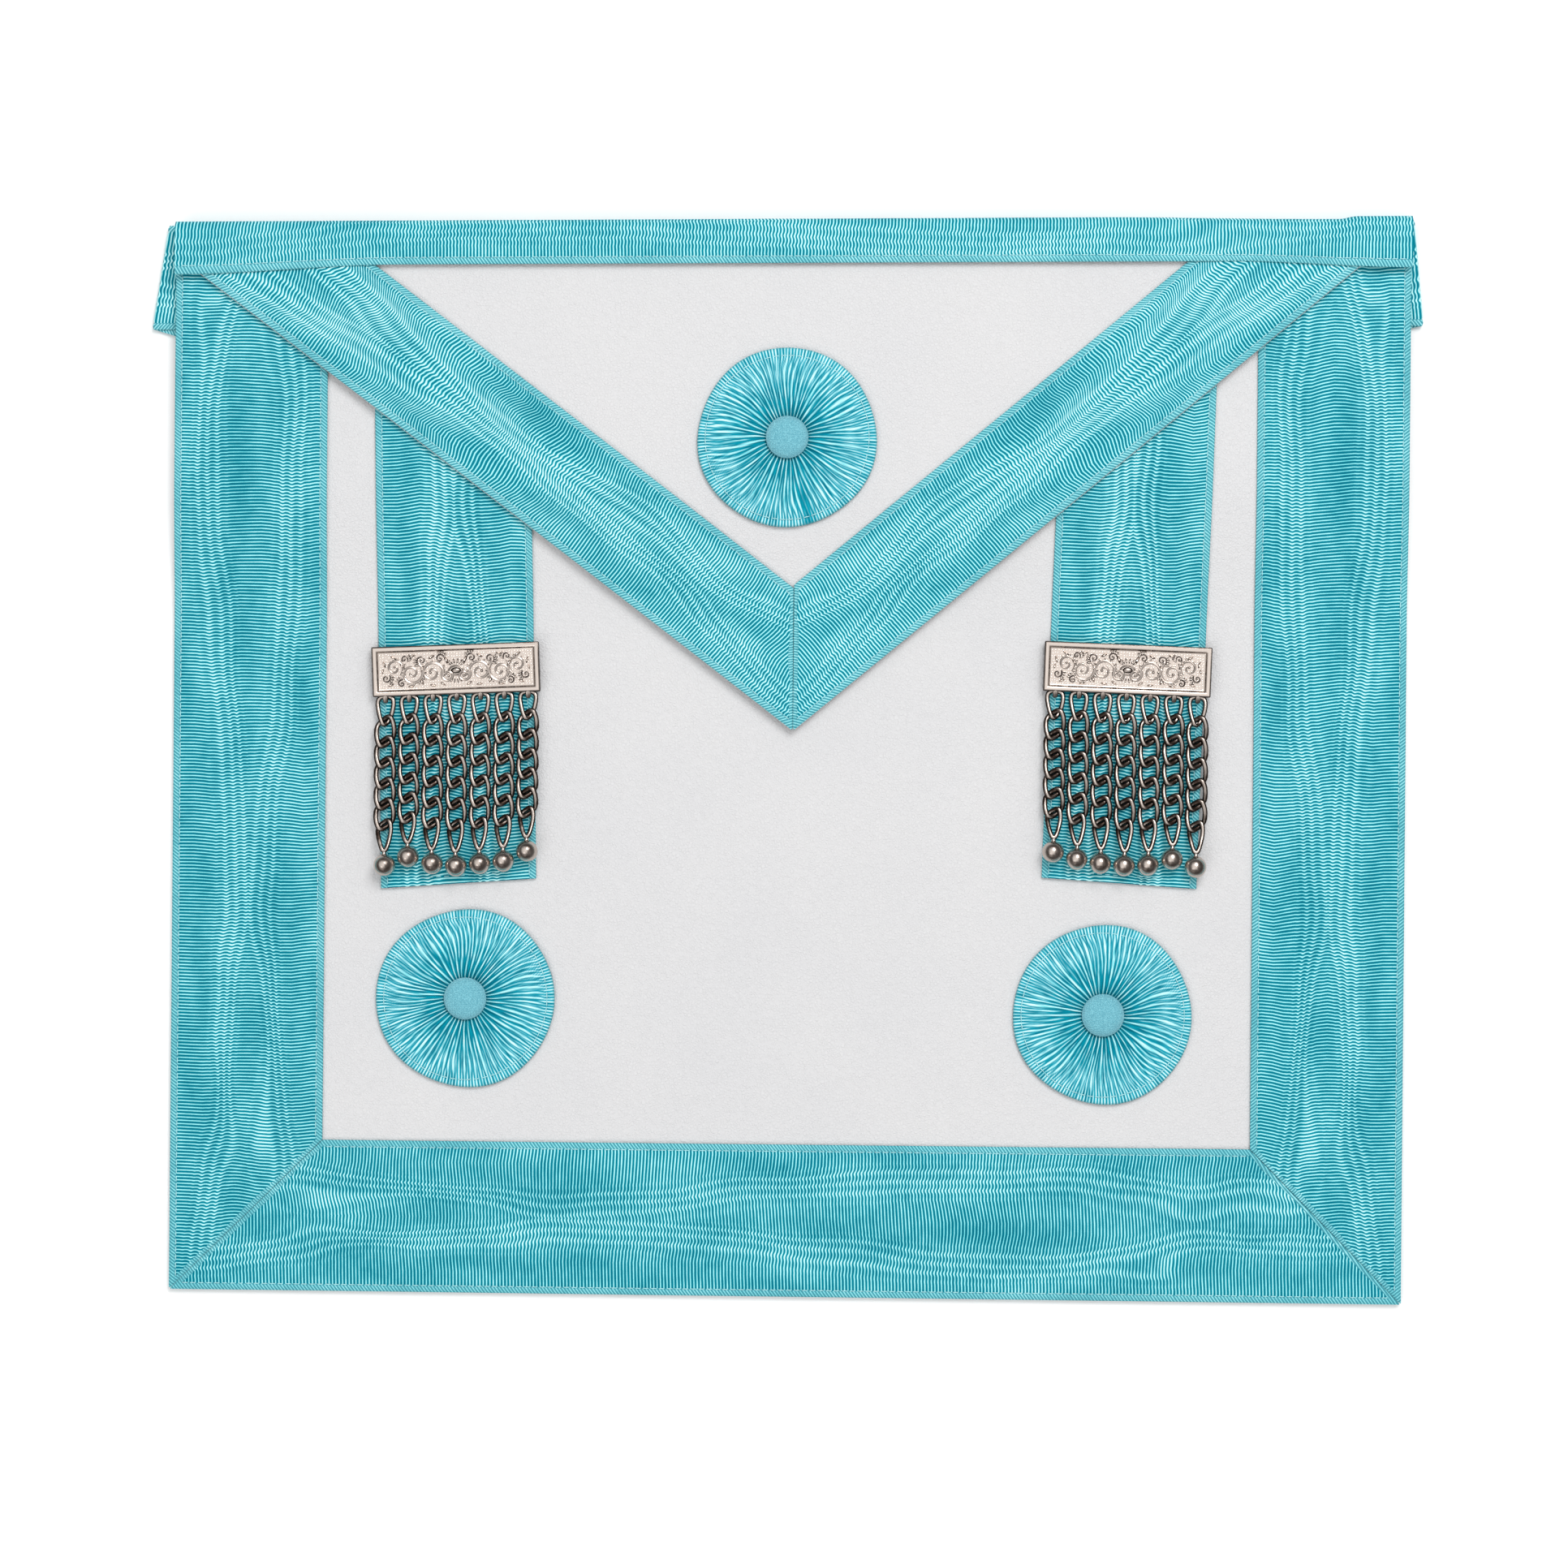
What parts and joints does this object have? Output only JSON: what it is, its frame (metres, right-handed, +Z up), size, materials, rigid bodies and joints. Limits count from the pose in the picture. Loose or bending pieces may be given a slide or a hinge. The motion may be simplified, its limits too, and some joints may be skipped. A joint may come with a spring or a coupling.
{
  "type": "masonic apron",
  "caption": "White leather apron bordered with blue moire ribbon, with a pointed flap, gathered rosettes, chain tassels on cast slides and a ribbon belt.",
  "frame": {"origin": "on the table under the middle of the apron, which lies face up", "axes": "+X across the apron to the viewer's right, +Y towards its top band, +Z up from the table"},
  "size_m": [0.4182, 0.3576, 0.0133],
  "materials": {
    "leather": "white, fine pebble grain",
    "moire": "ribbed moire ribbon",
    "covered": "plain cloth, matt",
    "plated": "polished nickel plate"
  },
  "bodies": {
    "root": {"apron_body": "leather", "border_left": "moire", "border_right": "moire", "border_bottom": "moire", "top_band": "moire", "flap": "leather", "flap_ribbon_left": "moire", "flap_ribbon_right": "moire", "tassel_ribbon_left": "moire", "tassel_ribbon_right": "moire", "slide_left": "plated", "slide_right": "plated", "belt_left": "moire", "belt_right": "moire", "belt_clasp": "plated", "chain_left_1": "plated", "ball_left_1": "plated", "chain_left_2": "plated", "ball_left_2": "plated", "chain_left_3": "plated", "ball_left_3": "plated", "chain_left_4": "plated", "ball_left_4": "plated", "chain_left_5": "plated", "ball_left_5": "plated", "chain_left_6": "plated", "ball_left_6": "plated", "chain_left_7": "plated", "ball_left_7": "plated", "chain_right_1": "plated", "ball_right_1": "plated", "chain_right_2": "plated", "ball_right_2": "plated", "chain_right_3": "plated", "ball_right_3": "plated", "chain_right_4": "plated", "ball_right_4": "plated", "chain_right_5": "plated", "ball_right_5": "plated", "chain_right_6": "plated", "ball_right_6": "plated", "chain_right_7": "plated", "ball_right_7": "plated", "rosette_flap": "moire", "button_flap": "covered", "rosette_left": "moire", "button_left": "covered", "rosette_right": "moire", "button_right": "covered"}
  },
  "joints": []
}
